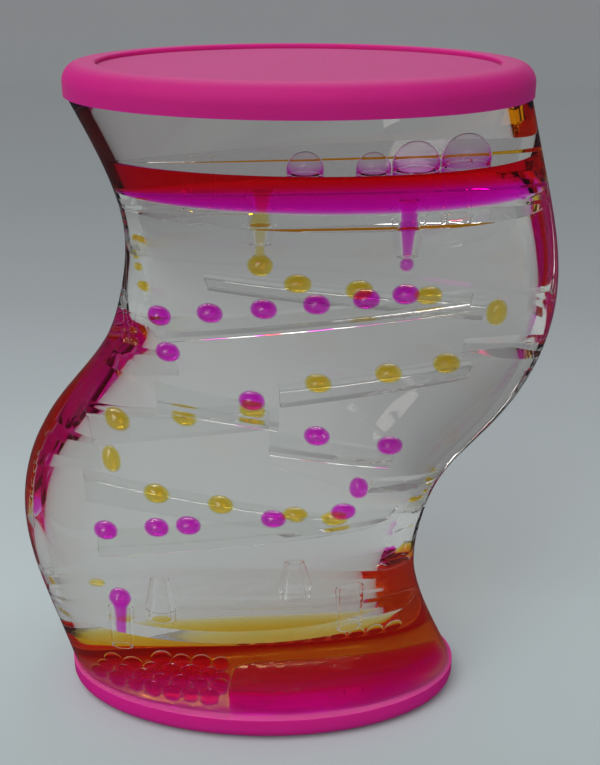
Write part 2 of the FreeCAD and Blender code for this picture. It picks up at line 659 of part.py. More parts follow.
# A raft of yellow drops that float on the lower yellow pool before they merge with it.
raft = []
for place in range(RAFT_COUNT):
    x = f"{across(ACROSS_SHARES['raft_start'])} + Size.raft_pitch * {place}"
    raft.append(add("Part::Sphere", "raft_drop", {
        "Radius": "Size.raft_bead_radius", **at(x, LANE["raft"], LOWER_YELLOW),
    }))
keep(domes("yellow_bead_raft", LOWER_YELLOW, raft), "yellow_bead_raft")

# Oil drops that have risen through the upper magenta pool and sit on it.
bubbles = []
for along, depth, size in BUBBLE_SHARES:
    radius = f"Size.body_half_depth * {size}"
    bubbles.append(add("Part::Sphere", "bubble", {
        "Radius": radius,
        **at(f"{STANDPIPE_X[FRONT]} * {along}", f"Size.body_half_depth * {depth}",
             f"{UPPER_MAGENTA} + {radius} * {BUBBLE_LIFT_SHARE}"),
    }))
bubble_room = upright("Part::Cylinder", "bubble_room", FRONT, STANDPIPE_X[FRONT],
                      "Size.standpipe_radius + Size.fit_gap", DECK_TOP, f"{STANDPIPE_TOP} + Size.fit_gap")
bubble_caps = domes("oil_bubbles", UPPER_MAGENTA, bubbles)
keep(combine("Part::Cut", "oil_bubbles", bubble_caps, bubble_room), "oil_bubbles")

doc.recompute()
for item in doc.Objects:
    bad = [state for state in item.State if state in ("Invalid", "Error")]
    if bad:
        raise RuntimeError(f"{item.Name} is {bad}")
for item in nodes:
    if item.Shape.isNull() or not item.Shape.isValid() or not item.Shape.Solids:
        raise RuntimeError(f"{item.Label} has no sound solid")

os.makedirs("parts", exist_ok=True)
for item in nodes:
    item.Shape.exportStep(f"parts/{item.Label}.step")
    print(item.Label, len(item.Shape.Solids), round(item.Shape.Volume, 1))
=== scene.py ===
import json
import math

import bmesh
import bpy
import numpy as np
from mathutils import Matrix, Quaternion, Vector


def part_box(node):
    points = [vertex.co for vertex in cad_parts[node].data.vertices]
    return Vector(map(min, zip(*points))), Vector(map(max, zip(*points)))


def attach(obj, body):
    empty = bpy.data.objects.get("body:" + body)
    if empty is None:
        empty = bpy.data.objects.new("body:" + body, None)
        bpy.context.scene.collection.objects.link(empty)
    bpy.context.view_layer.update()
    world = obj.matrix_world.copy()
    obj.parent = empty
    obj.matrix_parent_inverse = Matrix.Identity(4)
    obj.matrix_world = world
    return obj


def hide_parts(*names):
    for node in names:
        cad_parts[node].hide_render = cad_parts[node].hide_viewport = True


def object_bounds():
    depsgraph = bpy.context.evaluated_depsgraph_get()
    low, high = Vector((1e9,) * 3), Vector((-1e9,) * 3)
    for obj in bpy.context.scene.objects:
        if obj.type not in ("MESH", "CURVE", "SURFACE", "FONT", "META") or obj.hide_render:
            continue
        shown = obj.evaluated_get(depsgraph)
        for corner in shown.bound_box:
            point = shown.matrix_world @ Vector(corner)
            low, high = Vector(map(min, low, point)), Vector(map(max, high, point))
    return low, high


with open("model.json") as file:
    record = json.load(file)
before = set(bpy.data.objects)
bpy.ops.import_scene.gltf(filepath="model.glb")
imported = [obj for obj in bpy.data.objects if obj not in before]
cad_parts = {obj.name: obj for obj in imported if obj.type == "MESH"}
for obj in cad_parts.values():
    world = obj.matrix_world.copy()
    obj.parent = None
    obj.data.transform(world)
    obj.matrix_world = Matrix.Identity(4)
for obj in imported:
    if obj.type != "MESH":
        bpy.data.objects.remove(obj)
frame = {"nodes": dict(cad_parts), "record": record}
nodes = frame["nodes"]
cad_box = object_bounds()

# Camera: it stands close to the timer and looks down on it, as in the photograph. Its places
# are measured from the middle of the timer.
MM = 0.001
MIDDLE = Vector((0, 0, (cad_box[0].z + cad_box[1].z) / 2))
EYE = MIDDLE + Vector((11.83, -218.87, 105.42)) * MM
AIM = MIDDLE + Vector((4.58, 0, 4.66)) * MM
ROLL, LENS, SENSOR_HEIGHT, NEAR = -0.0017, 54.61, 36, 0.01

scene = bpy.context.scene
scene.view_settings.view_transform = "Standard"
camera = bpy.data.objects.new("camera", bpy.data.cameras.new("camera"))
camera.data.sensor_fit = "VERTICAL"
camera.data.sensor_height = SENSOR_HEIGHT
camera.data.lens = LENS
camera.data.clip_start = NEAR
camera.rotation_mode = "QUATERNION"
camera.rotation_quaternion = (AIM - EYE).to_track_quat("-Z", "Y") @ Quaternion((0, 0, 1), ROLL)
camera.location = EYE
scene.collection.objects.link(camera)
scene.camera = camera


# Light in clear things: it passes many clear faces before it leaves the body. Lamps shine straight
# through the clear pieces, so the bright spots that these would throw are left out.
CLEAR_BOUNCES = 32
scene.cycles.max_bounces = CLEAR_BOUNCES
scene.cycles.transmission_bounces = CLEAR_BOUNCES
scene.cycles.glossy_bounces = CLEAR_BOUNCES
scene.cycles.transparent_max_bounces = CLEAR_BOUNCES
scene.cycles.caustics_reflective = False
scene.cycles.caustics_refractive = False


# Floor and backdrop: one sheet of matt pale grey card that curves up behind the timer. Its colour
# is painted darker where it stands upright, away from the lamps, as painted shade, and where gloss
# mirrors it, it is painted as dark as the room, as a painted reflection.
FLOOR_REACH, FLOOR_FRONT, WALL_TOP = 1.6, -1.4, 1.4
BEND_START, BEND_RADIUS, BEND_STEPS = 0.7, 0.3, 24
# Each painted shade stands at a share of the way from near to far, counted as depth plus height.
CARD_NEAR, CARD_FAR = -0.03, 0.89
CARD_PAINTED_SHADES = (
    (0.0, "#B0BABC"), (0.065, "#BECACC"), (0.19, "#B0B8BB"), (0.3, "#A3A9AC"), (0.47, "#A0A6AA"),
    (0.775, "#ABB0B2"), (1.0, "#A2A4A7"),
)
# Painted reflection: the dark shade that gloss sees in place of the card's own colour.
PAINTED_REFLECTION_SHADE, CARD_ROUGHNESS = "#404346", 0.9
CARD_GRAIN_SCALE, CARD_GRAIN_SPREAD = 9.0, 0.03


def linear(code):
    """An sRGB hex colour as linear red, green, blue and alpha."""
    parts = [int(code[place:place + 2], 16) / 255 for place in (1, 3, 5)]
    return tuple(v / 12.92 if v <= 0.04045 else ((v + 0.055) / 1.055) ** 2.4 for v in parts) + (1.0,)


def add(tree, kind, inputs=None, **settings):
    """Adds a node; each input takes a value or another node's output."""
    node = tree.nodes.new(kind)
    for name, value in settings.items():
        setattr(node, name, value)
    for name, value in (inputs or {}).items():
        if isinstance(value, bpy.types.NodeSocket):
            tree.links.new(value, node.inputs[name])
        else:
            node.inputs[name].default_value = value
    return node


def mirrored_share(tree):
    """One for a ray that gloss has mirrored, and zero for one that is seen directly or through."""
    ray = add(tree, "ShaderNodeLightPath").outputs
    mirrored = add(tree, "ShaderNodeMath", {
        0: ray["Is Glossy Ray"], 1: ray["Is Transmission Ray"],
    }, operation="SUBTRACT", use_clamp=True)
    return mirrored.outputs[0]


def new_material(name):
    """An empty material and its node tree."""
    material = bpy.data.materials.new(name)
    material.use_nodes = True
    material.node_tree.nodes.clear()
    return material, material.node_tree


def new_piece(name, mesh, *materials):
    """Makes an object of a bmesh, with its materials, and links it."""
    data = bpy.data.meshes.new(name)
    mesh.to_mesh(data)
    mesh.free()
    for material in materials:
        data.materials.append(material)
    piece = bpy.data.objects.new(name, data)
    scene.collection.objects.link(piece)
    return piece


# Matt card: no gloss, and a faint unevenness of tone as on painted paper.
card, tree = new_material("matt_card")
place = add(tree, "ShaderNodeTexCoord").outputs["Object"]
place_parts = add(tree, "ShaderNodeSeparateXYZ", {"Vector": place}).outputs
along = add(tree, "ShaderNodeMath", {0: place_parts["Y"], 1: place_parts["Z"]}, operation="ADD")
far = add(tree, "ShaderNodeMapRange", {
    "Value": along.outputs[0], "From Min": CARD_NEAR, "From Max": CARD_FAR,
})
# Painted shade: the ramp darkens the card by depth and height, in place of the fall of the lamps' light.
painted_shade = add(tree, "ShaderNodeValToRGB", {"Fac": far.outputs["Result"]})
stops = painted_shade.color_ramp.elements
for share, colour in CARD_PAINTED_SHADES[1:-1]:
    stops.new(share)
for stop, (share, colour) in zip(stops, CARD_PAINTED_SHADES):
    stop.color = linear(colour)
grain = add(tree, "ShaderNodeTexNoise", {
    "Vector": place, "Scale": CARD_GRAIN_SCALE, "Detail": 3.0,
})
tone = add(tree, "ShaderNodeMapRange", {
    "Value": grain.outputs["Fac"], "To Min": 1 - CARD_GRAIN_SPREAD, "To Max": 1 + CARD_GRAIN_SPREAD,
})
toned = add(tree, "ShaderNodeHueSaturation", {
    "Color": painted_shade.outputs["Color"], "Value": tone.outputs["Result"],
})
pale = add(tree, "ShaderNodeBsdfPrincipled", {
    "Base Color": toned.outputs["Color"], "Roughness": CARD_ROUGHNESS,
})
# Painted reflection: where gloss mirrors the card, it shows this painted dark instead of its colour.
painted_dark_reflection = add(tree, "ShaderNodeBsdfDiffuse", {"Color": linear(PAINTED_REFLECTION_SHADE)})
surface = add(tree, "ShaderNodeMixShader", {
    0: mirrored_share(tree), 1: pale.outputs[0], 2: painted_dark_reflection.outputs[0],
})
add(tree, "ShaderNodeOutputMaterial", {"Surface": surface.outputs[0]})

card_profile = [(FLOOR_FRONT, 0.0), (0.0, 0.0)]
for step in range(BEND_STEPS + 1):
    turn = math.pi / 2 * step / BEND_STEPS
    card_profile.append((BEND_START + BEND_RADIUS * math.sin(turn), BEND_RADIUS * (1 - math.cos(turn))))
card_profile.append((BEND_START + BEND_RADIUS, WALL_TOP))
mesh = bmesh.new()
rows = [[mesh.verts.new((x, y, z)) for x in (-FLOOR_REACH, FLOOR_REACH)] for y, z in card_profile]
for (near_left, near_right), (far_left, far_right) in zip(rows, rows[1:]):
    mesh.faces.new((near_left, near_right, far_right, far_left)).smooth = True
new_piece("backdrop", mesh, card)


# Studio light: a large soft box overhead and a weaker one from the front left, in an even room.
# A strip high behind lights nothing, and is only there for drops and edges to mirror. Otherwise
# they mirror the room as a dark grey, and through them it shows as the backdrop's grey.
ROOM_LIGHT, ROOM_GREY, ROOM_MIRRORED = 0.75, "#8C9193", "#3C3E40"
OVERHEAD_BOX = {"place": (-0.2, -0.34, 0.72), "power": 2.9, "size": 0.5}
FRONT_BOX = {"place": (-0.42, -0.5, 0.3), "power": 0.8, "size": 0.3}
MIRRORED_STRIP = {"place": (-0.02, 0.33, 0.5), "power": 1.7, "size": 0.4}
STRIP_WIDTH = 0.1


def soft_box(name, place, power, size):
    """A square lamp that faces the timer."""
    lamp = bpy.data.objects.new(name, bpy.data.lights.new(name, "AREA"))
    lamp.data.shape = "SQUARE"
    lamp.data.size = size
    lamp.data.energy = power
    lamp.location = place
    lamp.rotation_mode = "QUATERNION"
    lamp.rotation_quaternion = (MIDDLE - Vector(place)).to_track_quat("-Z", "Y")
    scene.collection.objects.link(lamp)
    return lamp


soft_box("overhead_box", **OVERHEAD_BOX)
soft_box("front_box", **FRONT_BOX)
strip = soft_box("mirrored_strip", **MIRRORED_STRIP)
strip.data.shape = "RECTANGLE"
strip.data.size_y = STRIP_WIDTH
strip.visible_diffuse = False
strip.visible_camera = False

world = bpy.data.worlds.new("room")
world.use_nodes = True
tree = world.node_tree
tree.nodes.clear()
ray = add(tree, "ShaderNodeLightPath").outputs
seen = add(tree, "ShaderNodeMath", {
    0: ray["Is Camera Ray"], 1: ray["Is Transmission Ray"],
}, operation="MAXIMUM")
lighting = add(tree, "ShaderNodeBackground", {"Strength": ROOM_LIGHT})
shown = add(tree, "ShaderNodeBackground", {"Color": linear(ROOM_GREY)})
mirrored = add(tree, "ShaderNodeBackground", {"Color": linear(ROOM_MIRRORED)})
plain_room = add(tree, "ShaderNodeMixShader", {
    0: seen.outputs[0], 1: lighting.outputs[0], 2: shown.outputs[0],
})
room = add(tree, "ShaderNodeMixShader", {
    0: mirrored_share(tree), 1: plain_room.outputs[0], 2: mirrored.outputs[0],
})
add(tree, "ShaderNodeOutputWorld", {"Surface": room.outputs[0]})
scene.world = world


# Body: two shells injection moulded in clear acrylic and a flat divider between them, bonded along
# the outline, where a fine seam shows. The whole body is full of clear oil, so the inner faces
# part acrylic from oil and hardly bend light, while the outer faces part acrylic from air.
BODY_HALF_WIDTH, BODY_HALF_DEPTH, SWAY, WALL = 43.4 * MM, 22.2 * MM, 12.2 * MM, 2.4 * MM
# From the middle of the body to its top: how far it sways and how wide it is.
SWAY_SHARES = [0.0, 0.70, 1.0, 1.0, 0.73, 0.35]
WIDTH_SHARES = [1.074, 1.033, 1.0, 0.969, 0.970, 0.999]
HALF_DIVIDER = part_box("divider_plate")[1].y
BODY_LOW, BODY_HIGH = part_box("divider_plate")[0].z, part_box("divider_plate")[1].z
FRONT, REAR = -1, 1
SIDES = {"front": FRONT, "rear": REAR}
ARC_STEPS, SHELL_LEVELS = 96, 112
SHELL_POINTS = ARC_STEPS + 2
HAIR = 0.02 * MM
SEAM_WIDTH, SEAM_DEPTH = 0.3 * MM, 0.12 * MM
ACRYLIC, OIL = 1.49, 1.47
ACRYLIC_TINT, RIPPLE_DEPTH, RIPPLE_LENGTH = "#FFF9F4", 0.05 * MM, 14 * MM
# An edge stays sharp where it turns more than this, or where it borders a far larger face.
SMOOTH_ANGLE, FLAT_FACE_RATIO = math.radians(32), 12
OUTSIDE, OILED, WELDED = 0, 1, 2


def smooth_through(values):
    """A natural cubic spline through evenly spaced values from the body's low end to its high one."""
    last = len(values) - 1
    system, pull = np.eye(last + 1), np.zeros(last + 1)
    for i in range(1, last):
        system[i, i - 1:i + 2] = 1, 4, 1
        pull[i] = 6 * (values[i - 1] - 2 * values[i] + values[i + 1])
    bend = np.linalg.solve(system, pull)

    def at(z):
        place = min(max((z - BODY_LOW) / (BODY_HIGH - BODY_LOW), 0), 1) * last
        i = min(int(place), last - 1)
        t, s = place - i, 1 - place + i
        curve = (s ** 3 - s) * bend[i] + (t ** 3 - t) * bend[i + 1]
        return s * values[i] + t * values[i + 1] + curve / 6
    return at


centre_at = smooth_through([-SWAY * s for s in SWAY_SHARES[:0:-1]] + [SWAY * s for s in SWAY_SHARES])
half_width_at = smooth_through([BODY_HALF_WIDTH * s for s in WIDTH_SHARES[:0:-1] + WIDTH_SHARES])


def oval_arc(side, z, inset, turns):
    """Points of the body's oval at a height, drawn in by an inset, at the given turns."""
    centre, across, deep = centre_at(z), half_width_at(z) - inset, BODY_HALF_DEPTH - inset
    return [(centre + across * math.cos(t), side * deep * math.sin(t), z) for t in turns]


def arc_turns(inset, cut, steps):
    """Even turns over the half oval that lies further from the divider's middle than the cut."""
    start = math.asin(cut / (BODY_HALF_DEPTH - inset))
    return np.linspace(start, math.pi - start, steps)


def skin(mesh, rings, finish_of=None):
    """Joins closed rings of points, one after another, into a tube of faces."""
    rows = [[mesh.verts.new(point) for point in ring] for ring in rings]
    for low, high in zip(rows, rows[1:]):
        for i in range(len(low)):
            j = (i + 1) % len(low)
            face = mesh.faces.new((low[i], low[j], high[j], high[i]))
            face.material_index = finish_of(i) if finish_of else 0
    return rows


def finish_mesh(mesh):
    """Turns the faces outwards and shades them smooth, up to the sharp edges and round flat faces."""
    bmesh.ops.recalc_face_normals(mesh, faces=mesh.faces)
    for face in mesh.faces:
        face.smooth = True
    for edge in mesh.edges:
        if edge.is_manifold:
            small, large = sorted(face.calc_area() for face in edge.link_faces)
            edge.smooth = edge.calc_face_angle() < SMOOTH_ANGLE and large < small * FLAT_FACE_RATIO
    return mesh


def stands_for(piece, slot, *names, body="root"):
    """The piece takes the place of CAD nodes, which it hides, and moves with their body; slot is not used.
    """
    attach(piece, body)
    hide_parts(*names)
    return piece


def clear_material(name, ior, roughness=0.0, ripple=0.0, tint="#FFFFFF"):
    """Clear plastic that lets the lamps through, with the slight ripple of a moulded face."""
    material, tree = new_material(name)
    place = add(tree, "ShaderNodeTexCoord").outputs["Object"]
    waves = add(tree, "ShaderNodeTexNoise", {
        "Vector": place, "Scale": 1 / RIPPLE_LENGTH, "Detail": 1.0,
    })
    bump = add(tree, "ShaderNodeBump", {
        "Height": waves.outputs["Fac"], "Distance": ripple, "Strength": 1.0,
    })
    clear = add(tree, "ShaderNodeBsdfPrincipled", {
        "Base Color": linear(tint), "Roughness": roughness, "IOR": ior, "Transmission Weight": 1.0,
        "Normal": bump.outputs["Normal"],
    })
    passing = add(tree, "ShaderNodeBsdfTransparent", {"Color": linear(tint)})
    for_lamps = add(tree, "ShaderNodeLightPath").outputs["Is Shadow Ray"]
    mixed = add(tree, "ShaderNodeMixShader", {0: for_lamps, 1: clear.outputs[0], 2: passing.outputs[0]})
    add(tree, "ShaderNodeOutputMaterial", {"Surface": mixed.outputs[0]})
    return material


def bonded_material(name):
    """Solvent-welded faces: there is nothing left between the two pieces to see."""
    material, tree = new_material(name)
    passing = add(tree, "ShaderNodeBsdfTransparent")
    add(tree, "ShaderNodeOutputMaterial", {"Surface": passing.outputs[0]})
    return material


def shell_finish(i):
    """The finish of each strip round a shell: along the outside, across, back inside and across."""
    if i in (SHELL_POINTS - 1, 2 * SHELL_POINTS - 1):
        return WELDED
    return OUTSIDE if i < SHELL_POINTS else OILED


def divider_finish(i):
    """The divider's two long faces lie in oil, and its narrow edges in air."""
    return OILED if i in (2, 5) else OUTSIDE


# Outside, the gloss of a polished mould with a faint warm tint and a slow ripple. Inside, acrylic
# against oil, two clear things so alike that the face between them all but vanishes.
body_finishes = (
    clear_material("polished_acrylic", ACRYLIC, ripple=RIPPLE_DEPTH, tint=ACRYLIC_TINT),
    clear_material("acrylic_against_oil", ACRYLIC / OIL),
    bonded_material("welded_acrylic"),
)

shell_levels = np.linspace(BODY_LOW + HAIR, BODY_HIGH - HAIR, SHELL_LEVELS)
for side_name, side in SIDES.items():
    cut = HALF_DIVIDER + HAIR
    rings = []
    for z in shell_levels:
        ends = arc_turns(SEAM_DEPTH, cut, 2)
        outer = oval_arc(side, z, SEAM_DEPTH, ends[:1])
        outer += oval_arc(side, z, 0, arc_turns(0, cut + SEAM_WIDTH, ARC_STEPS))
        outer += oval_arc(side, z, SEAM_DEPTH, ends[1:])
        inner = oval_arc(side, z, WALL, arc_turns(WALL, cut, SHELL_POINTS))
        rings.append(outer + inner[::-1])
    mesh = bmesh.new()
    rows = skin(mesh, rings, shell_finish)
    for row in (rows[0], rows[-1]):
        outer, inner = row[:SHELL_POINTS], row[:SHELL_POINTS - 1:-1]
        for i in range(SHELL_POINTS - 1):
            end_face = mesh.faces.new((outer[i], outer[i + 1], inner[i + 1], inner[i]))
            end_face.material_index = WELDED
    shell = new_piece(f"{side_name}_body_shell", finish_mesh(mesh), *body_finishes)
    stands_for(shell, "clear_acrylic", f"{side_name}_shell")

mesh = bmesh.new()
rings = []
for z in shell_levels:
    edge = arc_turns(SEAM_DEPTH, HALF_DIVIDER, 2)[0]
    turns = [-edge, 0, edge, math.pi - edge, math.pi, math.pi + edge]
    rings.append(oval_arc(REAR, z, SEAM_DEPTH, turns))
rows = skin(mesh, rings, divider_finish)
for row in (rows[0], rows[-1]):
    mesh.faces.new(row).material_index = WELDED
divider = new_piece("flat_divider", finish_mesh(mesh), *body_finishes)
stands_for(divider, "clear_acrylic", "divider_plate")


# End plates and filling plugs: flat ovals cut from clear sheet, cemented over each end of the body.
# Each has two holes, through which the body was filled, with a plug in each. Their edges are broken
# by a small radius.
EDGE_BREAK, EDGE_SEGMENTS = 0.2 * MM, 2
# Clear faces that lie in one place render black, so what is cemented keeps this little apart.
CEMENT = 0.04 * MM
ACROSS_DIVIDER = ("top_end_plate", "bottom_end_plate", "top_cap", "bottom_cap", "fill_plugs")
# Corners this close are one corner, and faces this nearly level are one face.
MERGE_DISTANCE, LEVEL_ANGLE = 0.001 * MM, math.radians(0.2)


def joined_copy(name):
    """A CAD node's loose triangles, joined into clean faces."""
    mesh = bmesh.new()
    mesh.from_mesh(nodes[name].data)
    for layer in list(mesh.loops.layers.uv.values()):
        mesh.loops.layers.uv.remove(layer)
    bmesh.ops.remove_doubles(mesh, verts=mesh.verts, dist=MERGE_DISTANCE)
    bmesh.ops.dissolve_limit(mesh, angle_limit=LEVEL_ANGLE, verts=mesh.verts, edges=mesh.edges)
    return mesh


def bake(piece):
    """Applies the piece's one modifier and leaves a plain mesh."""
    baked = bpy.data.meshes.new_from_object(piece.evaluated_get(bpy.context.evaluated_depsgraph_get()))
    piece.modifiers.clear()
    piece.data = baked


def softened(name, piece_name, slot, radius, *materials, gap=0.0):
    """The node's own shape with its sharp edges rounded, drawn in by a gap and off the divider."""
    piece = new_piece(piece_name, finish_mesh(joined_copy(name)), *materials)
    if radius:
        bevel = piece.modifiers.new("edges", "BEVEL")
        bevel.width = radius
        bevel.segments = EDGE_SEGMENTS
        bevel.limit_method = "ANGLE"
        bevel.angle_limit = SMOOTH_ANGLE
        bevel.use_clamp_overlap = True
        bake(piece)
    mesh = bmesh.new()
    mesh.from_mesh(piece.data)
    mesh.normal_update()
    for vertex in mesh.verts:
        vertex.co -= vertex.normal * gap
        if abs(vertex.co.y) < HALF_DIVIDER + CEMENT and name not in ACROSS_DIVIDER:
            vertex.co.y = math.copysign(HALF_DIVIDER + CEMENT, vertex.co.y)
    finish_mesh(mesh).to_mesh(piece.data)
    mesh.free()
    return stands_for(piece, slot, name)


# Acrylic sheet with cement and oil on both faces: it shows only as faint edges.
cemented_acrylic = clear_material("cemented_acrylic", ACRYLIC / OIL)
for name in ("top_end_plate", "bottom_end_plate"):
    softened(name, f"{name}_sheet", "clear_acrylic", EDGE_BREAK, cemented_acrylic)
softened("fill_plugs", "fill_plug_set", "plug", EDGE_BREAK, cemented_acrylic, gap=CEMENT)


# Lids: shallow ovals moulded in pink polystyrene and pressed over the ends. The upper one is matt,
# from an eroded mould, and the lower one has a slight gloss.
# Both lids are one pink dye; the lower one's colour is painted paler, as painted light, a lit copy of it.
MATT_PINK, GLOSS_PINK_PAINTED_PALER = "#B00A70", "#C61882"
CLOUD_LENGTH, CLOUD_SPREAD = 18 * MM, 0.07
PIT_DEPTH, WEAR_SPREAD = 0.03 * MM, 0.06
PLASTIC_SPECULAR, SHEEN_ROUGHNESS, COAT_ROUGHNESS = 0.25, 0.4, 0.08
# Light goes a few millimetres into the plastic, and its red the furthest.
GLOW_SHARE, GLOW_REACH, GLOW_DEPTH = 0.6, (1.0, 0.12, 0.4), 5 * MM


def moulded_plastic(name, base, roughness, grain, coat=0.0, sheen=0.0):
    """Dyed plastic with the fine grain of an eroded mould and slight clouding of its colour."""
    material, tree = new_material(name)
    place = add(tree, "ShaderNodeTexCoord").outputs["Object"]
    cloud = add(tree, "ShaderNodeTexNoise", {
        "Vector": place, "Scale": 1 / CLOUD_LENGTH, "Detail": 4.0,
    })
    tone = add(tree, "ShaderNodeMapRange", {
        "Value": cloud.outputs["Fac"], "To Min": 1 - CLOUD_SPREAD, "To Max": 1 + CLOUD_SPREAD,
    })
    dyed = add(tree, "ShaderNodeHueSaturation", {
        "Color": linear(base), "Value": tone.outputs["Result"],
    })
    pits = add(tree, "ShaderNodeTexNoise", {"Vector": place, "Scale": 1 / grain, "Detail": 2.0})
    bump = add(tree, "ShaderNodeBump", {
        "Height": pits.outputs["Fac"], "Distance": PIT_DEPTH, "Strength": 1.0,
    })
    worn = add(tree, "ShaderNodeMapRange", {
        "Value": pits.outputs["Fac"], "To Min": roughness - WEAR_SPREAD, "To Max": roughness + WEAR_SPREAD,
    })
    surface = add(tree, "ShaderNodeBsdfPrincipled", {
        "Base Color": dyed.outputs["Color"], "Normal": bump.outputs["Normal"],
        "Roughness": worn.outputs["Result"], "Specular IOR Level": PLASTIC_SPECULAR,
        "Sheen Weight": sheen, "Sheen Roughness": SHEEN_ROUGHNESS,
        "Subsurface Weight": GLOW_SHARE, "Subsurface Radius": GLOW_REACH, "Subsurface Scale": GLOW_DEPTH,
        "Coat Weight": coat, "Coat Roughness": COAT_ROUGHNESS,
    })
    add(tree, "ShaderNodeOutputMaterial", {"Surface": surface.outputs[0]})
    return material


# Matt: broad soft light and no highlight. Gloss: the same dye, painted paler as painted light, under a
# thin smooth skin.
matt_pink = moulded_plastic(
    "matt_pink_polystyrene", MATT_PINK, roughness=0.66, grain=0.5 * MM, sheen=0.08,
)
gloss_pink = moulded_plastic(
    "gloss_pink_polystyrene", GLOSS_PINK_PAINTED_PALER, roughness=0.36, grain=0.8 * MM, coat=0.1,
)
softened("top_cap", "upper_lid", "pink_moulding", 0, matt_pink)
softened("bottom_cap", "lower_lid", "pink_moulding", 0, gloss_pink)


# Decks, ramps and ledges: clear styrene mouldings, cemented to the divider. Their rounded edges
# catch a little light in the oil. Styrene in oil bends light little more than the oil does.
FITTING_EDGE = 0.25 * MM
RAMP_IOR, RAMP_ROUGHNESS, RAMP_TINT, DECK_IOR = 1.03, 0.05, "#F8F9F8", 1.028
RAMPS, LEDGES = (1, 2, 3, 4), (1, 2)

# Ramps and ledges have the slight haze of a plain mould, and decks the clear face of a polished one.
clear_styrene = clear_material("clear_styrene", RAMP_IOR, roughness=RAMP_ROUGHNESS, tint=RAMP_TINT)
polished_styrene = clear_material("polished_styrene", DECK_IOR)
for side_name in SIDES:
    for level in ("upper", "lower"):
        softened(f"{level}_{side_name}_deck", f"{level}_{side_name}_floor_plate", "clear_fittings",
                 FITTING_EDGE, polished_styrene)
    for number in RAMPS:
        softened(f"{side_name}_ramp_{number}", f"{side_name}_runway_{number}", "clear_fittings",
                 FITTING_EDGE, clear_styrene)
    for number in LEDGES:
        softened(f"{side_name}_ledge_{number}", f"{side_name}_shelf_{number}", "clear_fittings",
                 FITTING_EDGE, clear_styrene)


# Nozzles and standpipes: turned from clear styrene rod, with rounded lips, a pair through each
# deck. The liquid leaves by the tapered nozzle, and the oil comes up through the pipe.
NOZZLE_ROOT, NOZZLE_TIP, NOZZLE_SPIGOT = 3.3 * MM, 1.9 * MM, 2.8 * MM
NOZZLE_MOUTH, NOZZLE_BORE = 2.1 * MM, 1.0 * MM
PIPE_ROOT, PIPE_END, PIPE_BORE = 2.6 * MM, 2.3 * MM, 1.9 * MM
LIP_ROUNDING, LIP_STEPS, TURN_STEPS = 0.15 * MM, 4, 64
TURNED_IOR = 1.045


def turned(mesh, centre, profile, steps=TURN_STEPS):
    """Turns a line of (radius, height) points about an upright axis; zero radius closes a pole."""
    turns = [math.tau * i / steps for i in range(steps)]
    rows = []
    for radius, z in profile:
        if radius == 0:
            rows.append([mesh.verts.new((centre[0], centre[1], z))])
        else:
            rows.append([mesh.verts.new((centre[0] + radius * math.cos(turn),
                                         centre[1] + radius * math.sin(turn), z)) for turn in turns])
    for low, high in zip(rows, rows[1:]):
        for i in range(steps):
            j = (i + 1) % steps
            corners = [low[i % len(low)], low[j % len(low)], high[j % len(high)], high[i % len(high)]]
            mesh.faces.new(list(dict.fromkeys(corners)))
    return rows


def turned_ring(mesh, centre, outline):
    """Turns a closed outline about an upright axis."""
    rows = turned(mesh, centre, outline)
    for i in range(TURN_STEPS):
        j = (i + 1) % TURN_STEPS
        mesh.faces.new((rows[-1][i], rows[-1][j], rows[0][j], rows[0][i]))


def rounded_corner(before, corner, after, radius):
    """A few points that round a corner of an outline."""
    a, b, c = (np.array(point) for point in (before, corner, after))
    first = b + (a - b) / np.linalg.norm(a - b) * radius
    last = b + (c - b) / np.linalg.norm(c - b) * radius
    points = []
    for step in range(LIP_STEPS + 1):
        t = step / LIP_STEPS
        points.append(tuple((1 - t) ** 2 * first + 2 * t * (1 - t) * b + t ** 2 * last))
    return points


def rounded_outline(outline, radius):
    """A closed outline with all its corners rounded."""
    points = []
    for i, corner in enumerate(outline):
        points += rounded_corner(outline[i - 1], corner, outline[(i + 1) % len(outline)], radius)
    return points


def node_middle(name):
    """The middle of a node, across and in depth."""
    low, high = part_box(name)
    return (low.x + high.x) / 2, (low.y + high.y) / 2


# Round and clear from the lathe, it bends what is behind it enough to show as pale outlines in oil.
turned_styrene = clear_material("turned_styrene", TURNED_IOR)
for level, up in (("upper", 1), ("lower", -1)):
    for side_name in SIDES:
        deck_low, deck_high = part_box(f"{level}_{side_name}_deck")
        chamber_face, ramp_face = (deck_high.z, deck_low.z) if up > 0 else (deck_low.z, deck_high.z)
        for part, points_up in (("nozzle", up < 0), ("standpipe", up > 0)):
            name = f"{level}_{side_name}_{part}"
            low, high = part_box(name)
            end = high.z if points_up else low.z
            if part == "nozzle":
                shoulder = ramp_face - up * CEMENT
                outline = [
                    (NOZZLE_BORE, end), (NOZZLE_TIP, end), (NOZZLE_ROOT, shoulder),
                    (NOZZLE_SPIGOT, shoulder), (NOZZLE_SPIGOT, chamber_face), (NOZZLE_MOUTH, chamber_face),
                ]
            else:
                outline = [
                    (PIPE_BORE, ramp_face), (PIPE_ROOT, ramp_face), (PIPE_ROOT, chamber_face),
                    (PIPE_END, end), (PIPE_BORE, end),
                ]
            mesh = bmesh.new()
            turned_ring(mesh, node_middle(name), rounded_outline(outline, LIP_ROUNDING))
            piece = new_piece(f"{name}_turning", finish_mesh(mesh), turned_styrene)
            stands_for(piece, "clear_fittings", name)


# Pools: dyed water, magenta in front and yellow behind, that lies in the end chambers from wall to
# divider and fills the upper nozzles. Its edges turn down at the plastic, which it doesn't wet in
# oil. It bends light less than the oil does, so it mirrors what it meets at a low angle.
WATER, CHORD_STEPS = 1.40, 24
